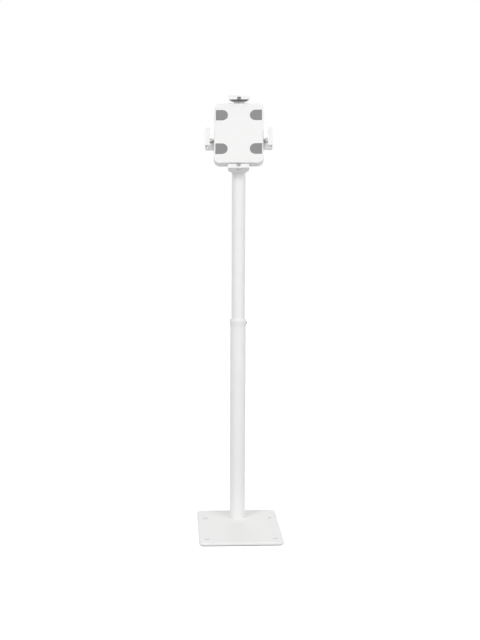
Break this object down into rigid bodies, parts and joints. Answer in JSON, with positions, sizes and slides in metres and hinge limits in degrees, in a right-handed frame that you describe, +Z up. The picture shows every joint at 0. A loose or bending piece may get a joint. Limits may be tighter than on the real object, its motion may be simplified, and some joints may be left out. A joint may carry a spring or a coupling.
{
  "type": "adjustable tablet floor stand",
  "caption": "Free-standing tablet stand: square weighted base, telescoping column, and a tilting, turning holder with geared side claws, a sliding top claw and a fixed bottom claw.",
  "frame": {"origin": "on the floor under the middle of the square base", "axes": "+Z up along the column, -Y towards the user, +X to the user's right"},
  "size_m": [0.25, 0.25, 1.3028],
  "materials": {
    "white_paint": "fine satin powder coat",
    "white_plastic": "satin moulded plastic",
    "dark_rubber": "matt sheet rubber",
    "grey_rubber": "matt silicone rubber",
    "bright_steel": "zinc plated",
    "natural_nylon": "natural nylon",
    "brass": "turned"
  },
  "bodies": {
    "base": {"base_plate": "white_paint", "base_mat": "dark_rubber", "base_bolt": "bright_steel", "base_washer": "bright_steel", "foot_plug": "bright_steel", "lower_tube": "white_paint", "guide_bush": "natural_nylon", "tube_collar": "white_plastic", "clamp_shoe": "natural_nylon"},
    "height_screw": {"height_screw": "bright_steel"},
    "column_guide": {"tube_end_guide": "natural_nylon"},
    "column": {"upper_tube": "white_paint", "yoke": "white_paint", "yoke_rivets": "bright_steel", "tilt_bolt": "bright_steel", "tilt_nut": "bright_steel", "friction_washers": "natural_nylon"},
    "tilt_head": {"tilt_knuckle": "white_paint", "swivel_washer": "natural_nylon", "hub_retainer": "bright_steel", "retainer_screws": "bright_steel"},
    "holder": {"rear_cover": "white_plastic", "front_plate": "white_plastic", "housing_screws": "bright_steel", "upper_left_grip": "grey_rubber", "upper_right_grip": "grey_rubber", "lower_left_grip": "grey_rubber", "lower_right_grip": "grey_rubber", "pinion_post": "bright_steel", "pinion_washer": "bright_steel", "bottom_bracket": "white_paint", "bottom_claw": "white_plastic", "bottom_claw_lining": "grey_rubber", "bottom_claw_screws": "white_paint", "bracket_screws": "bright_steel", "lock_insert": "brass", "brake_shoe": "natural_nylon"},
    "left_side": {"left_arm": "white_paint", "left_claw": "white_plastic", "left_claw_lining": "grey_rubber", "left_claw_screws": "bright_steel"},
    "right_side": {"right_arm": "white_paint", "right_claw": "white_plastic", "right_claw_lining": "grey_rubber", "right_claw_screws": "bright_steel"},
    "pinion": {"side_pinion": "natural_nylon"},
    "top_side": {"top_slider": "white_paint", "top_claw": "white_plastic", "top_claw_lining": "grey_rubber", "top_claw_screws": "white_paint"},
    "lock_screw": {"lock_screw": "bright_steel"}
  },
  "joints": [
    {"name": "height_screw_turn", "type": "hinge", "parent": "base", "child": "height_screw", "pos_m": [0.0257, 0.0675, 0.632], "axis": [1, 0, 0], "range_deg": [0, 360]},
    {"name": "height_slide", "type": "slide", "parent": "base", "child": "column_guide", "axis": [0, 0, 1], "range_m": [-0.42, 0]},
    {"name": "column_turn", "type": "hinge", "parent": "column_guide", "child": "column", "pos_m": [0, 0.0675, 0.5767], "axis": [0, 0, 1], "range_deg": [-180, 180]},
    {"name": "head_tilt", "type": "hinge", "parent": "column", "child": "tilt_head", "pos_m": [0, 0.0675, 1.1717], "axis": [-0.9969, 0.0785, 0], "range_deg": [-25, 65]},
    {"name": "holder_turn", "type": "hinge", "parent": "tilt_head", "child": "holder", "pos_m": [0, 0.0675, 1.1717], "axis": [-0.0711, -0.9035, 0.4226], "range_deg": [-90, 90]},
    {"name": "left_claw_slide", "type": "slide", "parent": "holder", "child": "left_side", "axis": [-0.9969, 0.0785, 0], "range_m": [-0.018, 0.017]},
    {"name": "right_claw_slide", "type": "slide", "parent": "holder", "child": "right_side", "axis": [0.9969, -0.0785, 0], "range_m": [-0.018, 0.017]},
    {"name": "pinion_turn", "type": "hinge", "parent": "holder", "child": "pinion", "pos_m": [-0.0036, 0.02175, 1.16083], "axis": [-0.0711, -0.9035, 0.4226], "range_deg": [-129, 122]},
    {"name": "top_claw_slide", "type": "slide", "parent": "holder", "child": "top_side", "axis": [0.0332, 0.4213, 0.9063], "range_m": [-0.01, 0.035]},
    {"name": "lock_screw_turn", "type": "hinge", "parent": "holder", "child": "lock_screw", "pos_m": [0.0004, 0.0726, 1.24655], "axis": [0.0711, 0.9035, -0.4226], "range_deg": [0, 360]}
  ],
  "couplings": [
    {"joint": "right_claw_slide", "follows": "left_claw_slide", "ratio": 1},
    {"joint": "pinion_turn", "follows": "left_claw_slide", "rad_per_m": 125}
  ]
}
